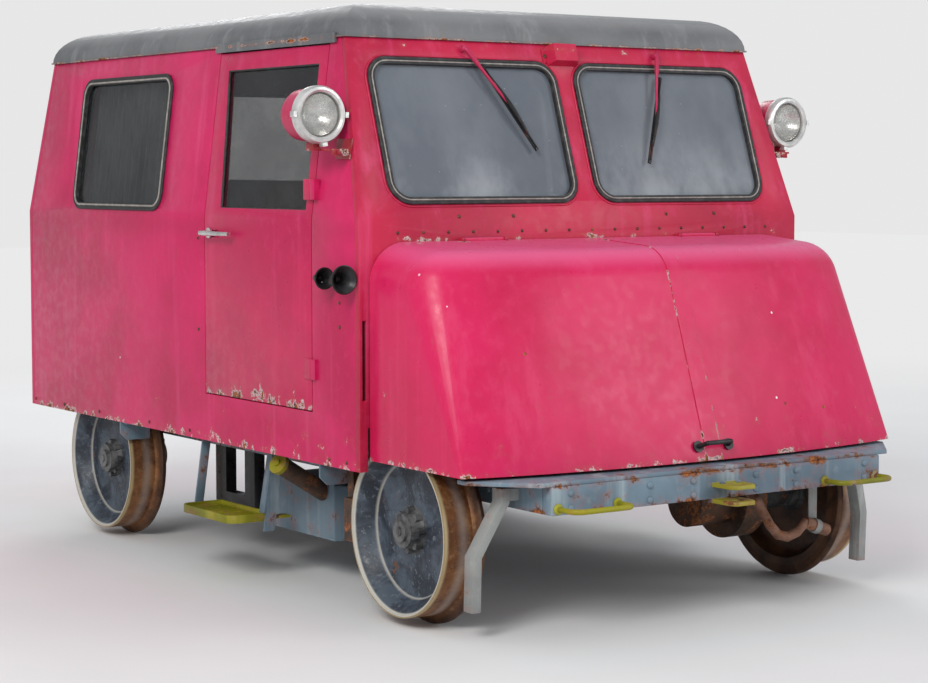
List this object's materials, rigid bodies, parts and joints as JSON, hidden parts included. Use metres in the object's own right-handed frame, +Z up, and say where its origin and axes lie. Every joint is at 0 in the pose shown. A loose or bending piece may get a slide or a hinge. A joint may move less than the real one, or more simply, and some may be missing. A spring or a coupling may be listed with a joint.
{
  "type": "motor rail trolley",
  "caption": "Enclosed motor rail trolley with a sheet metal cab, hinged bonnet, side doors, headlamps and flanged wheels for standard gauge track.",
  "frame": {"origin": "centre of the bounding box bottom, at the tips of the wheel flanges", "axes": "+Z up, front faces -Y, +X is the left-hand side of the vehicle"},
  "size_m": [2.018, 3.2, 1.83],
  "materials": {
    "frame_paint": "chipped semi-gloss",
    "body_paint": "faded satin with rust",
    "roof_paint": "matt",
    "seal_rubber": "matt",
    "window_glass": "clear",
    "bright_metal": "worn",
    "black_metal": "semi-gloss",
    "red_paint": "worn",
    "yellow_paint": "worn",
    "wheel_steel": "painted, polished tread",
    "cast_iron": "rough",
    "bronze": "machined",
    "rusty_steel": "rusted",
    "floor_steel": "matt",
    "fan_alloy": "cast",
    "seat_cover": "worn"
  },
  "bodies": {
    "chassis": {"side_members": "frame_paint", "buffer_beam_front": "frame_paint", "buffer_beam_rear": "frame_paint", "cross_members": "frame_paint", "front_apron": "frame_paint", "floor_plate": "floor_steel", "cab_side_left": "body_paint", "cab_side_right": "body_paint", "cab_front": "body_paint", "cab_rear": "body_paint", "roof": "roof_paint", "window_seals": "seal_rubber", "window_glass": "window_glass", "wiper_motor_cover": "body_paint", "headlamp_drums": "body_paint", "headlamp_rings": "bright_metal", "headlamp_lenses": "window_glass", "headlamp_brackets": "red_paint", "horns": "black_metal", "lifting_handles": "yellow_paint", "rail_guards": "frame_paint", "axle_pedestals": "cast_iron", "bearing_bushes": "bronze", "rubber_springs": "seal_rubber", "brake_hanger_frame": "black_metal", "fuel_tank": "frame_paint", "filler_neck": "rusty_steel", "filler_cap": "yellow_paint", "foot_steps": "yellow_paint", "step_hangers": "frame_paint", "exhaust_pipe": "rusty_steel", "exhaust_strap": "rusty_steel", "engine_block": "cast_iron", "gearbox": "cast_iron", "chain_case": "black_metal", "seat_frames": "black_metal", "seat_cushions": "seat_cover", "seat_backs": "seat_cover", "dashboard": "black_metal"},
    "left_door": {"door_left": "body_paint", "door_glass_left": "window_glass"},
    "right_door": {"door_right": "body_paint", "door_glass_right": "window_glass"},
    "left_door_lever": {"door_handle_left": "bright_metal"},
    "right_door_lever": {"door_handle_right": "bright_metal"},
    "bonnet": {"hood": "body_paint", "hood_handle": "black_metal"},
    "left_wiper": {"wiper_left": "black_metal"},
    "right_wiper": {"wiper_right": "black_metal"},
    "front_left_wheel": {"wheel_front_left": "wheel_steel"},
    "front_right_wheel": {"wheel_front_right": "wheel_steel"},
    "rear_left_wheel": {"wheel_rear_left": "wheel_steel"},
    "rear_right_wheel": {"wheel_rear_right": "wheel_steel"},
    "left_brake_shoe": {"brake_shoe_left": "cast_iron"},
    "right_brake_shoe": {"brake_shoe_right": "cast_iron"},
    "cooling_fan": {"engine_fan": "fan_alloy"},
    "drive_shaft": {"output_shaft": "bright_metal"},
    "gear_stick": {"gear_lever": "black_metal"},
    "hand_brake": {"brake_lever": "black_metal"},
    "throttle": {"throttle_pedal": "black_metal"}
  },
  "joints": [
    {"name": "left_door_hinge", "type": "hinge", "parent": "chassis", "child": "left_door", "pos_m": [0.857, -0.6, 1], "axis": [0, 0, -1], "range_deg": [0, 75]},
    {"name": "right_door_hinge", "type": "hinge", "parent": "chassis", "child": "right_door", "pos_m": [-0.857, -0.6, 1], "axis": [0, 0, 1], "range_deg": [0, 75]},
    {"name": "left_lever_pivot", "type": "hinge", "parent": "left_door", "child": "left_door_lever", "pos_m": [0.87, 0.047, 1.118], "axis": [1, 0, 0], "range_deg": [0, 40], "stiffness_Nm_per_rad": 1.5, "springref_deg": -34.38},
    {"name": "right_lever_pivot", "type": "hinge", "parent": "right_door", "child": "right_door_lever", "pos_m": [-0.87, 0.047, 1.118], "axis": [1, 0, 0], "range_deg": [0, 40], "stiffness_Nm_per_rad": 1.5, "springref_deg": -34.38},
    {"name": "bonnet_hinge", "type": "hinge", "parent": "chassis", "child": "bonnet", "pos_m": [0, -0.884, 1.112], "axis": [-1, 0, 0], "range_deg": [0, 55]},
    {"name": "right_wiper_pivot", "type": "hinge", "parent": "chassis", "child": "right_wiper", "pos_m": [-0.374, -0.69795, 1.68664], "axis": [0, -0.9471, 0.3209], "range_deg": [-50, 0]},
    {"name": "left_wiper_pivot", "type": "hinge", "parent": "chassis", "child": "left_wiper", "pos_m": [0.382, -0.69795, 1.68664], "axis": [0, -0.9471, 0.3209], "range_deg": [0, 50]},
    {"name": "front_left_axle", "type": "hinge", "parent": "chassis", "child": "front_left_wheel", "pos_m": [0.76, -1, 0.278], "axis": [1, 0, 0], "continuous": true},
    {"name": "front_right_axle", "type": "hinge", "parent": "chassis", "child": "front_right_wheel", "pos_m": [-0.76, -1, 0.278], "axis": [1, 0, 0], "continuous": true},
    {"name": "rear_left_axle", "type": "hinge", "parent": "chassis", "child": "rear_left_wheel", "pos_m": [0.76, 0.988, 0.278], "axis": [1, 0, 0], "continuous": true},
    {"name": "rear_right_axle", "type": "hinge", "parent": "chassis", "child": "rear_right_wheel", "pos_m": [-0.76, 0.988, 0.278], "axis": [1, 0, 0], "continuous": true},
    {"name": "drive_shaft_spin", "type": "hinge", "parent": "chassis", "child": "drive_shaft", "pos_m": [0.3, -0.96, 0.462], "axis": [1, 0, 0], "continuous": true},
    {"name": "fan_spin", "type": "hinge", "parent": "chassis", "child": "cooling_fan", "pos_m": [0, -1.15, 0.8], "axis": [0, 1, 0], "continuous": true},
    {"name": "hand_brake_pivot", "type": "hinge", "parent": "chassis", "child": "hand_brake", "pos_m": [0.355, -0.48, 0.62], "axis": [-1, 0, 0], "range_deg": [0, 20]},
    {"name": "left_shoe_pivot", "type": "hinge", "parent": "chassis", "child": "left_brake_shoe", "pos_m": [0.76, -0.69, 0.424], "axis": [-1, 0, 0], "range_deg": [0, 2]},
    {"name": "right_shoe_pivot", "type": "hinge", "parent": "chassis", "child": "right_brake_shoe", "pos_m": [-0.76, -0.69, 0.424], "axis": [-1, 0, 0], "range_deg": [0, 2]},
    {"name": "gear_stick_pivot", "type": "hinge", "parent": "chassis", "child": "gear_stick", "pos_m": [0, -0.55, 0.59], "axis": [1, 0, 0], "range_deg": [-10, 10]},
    {"name": "throttle_pivot", "type": "hinge", "parent": "chassis", "child": "throttle", "pos_m": [-0.38, -0.74, 0.64], "axis": [1, 0, 0], "range_deg": [0, 16], "stiffness_Nm_per_rad": 4, "springref_deg": -17.19}
  ],
  "couplings": [
    {"joint": "left_wiper_pivot", "follows": "right_wiper_pivot", "ratio": -1},
    {"joint": "drive_shaft_spin", "follows": "front_left_axle", "ratio": 2},
    {"joint": "left_shoe_pivot", "follows": "hand_brake_pivot", "ratio": 0.1},
    {"joint": "right_shoe_pivot", "follows": "hand_brake_pivot", "ratio": 0.1}
  ]
}
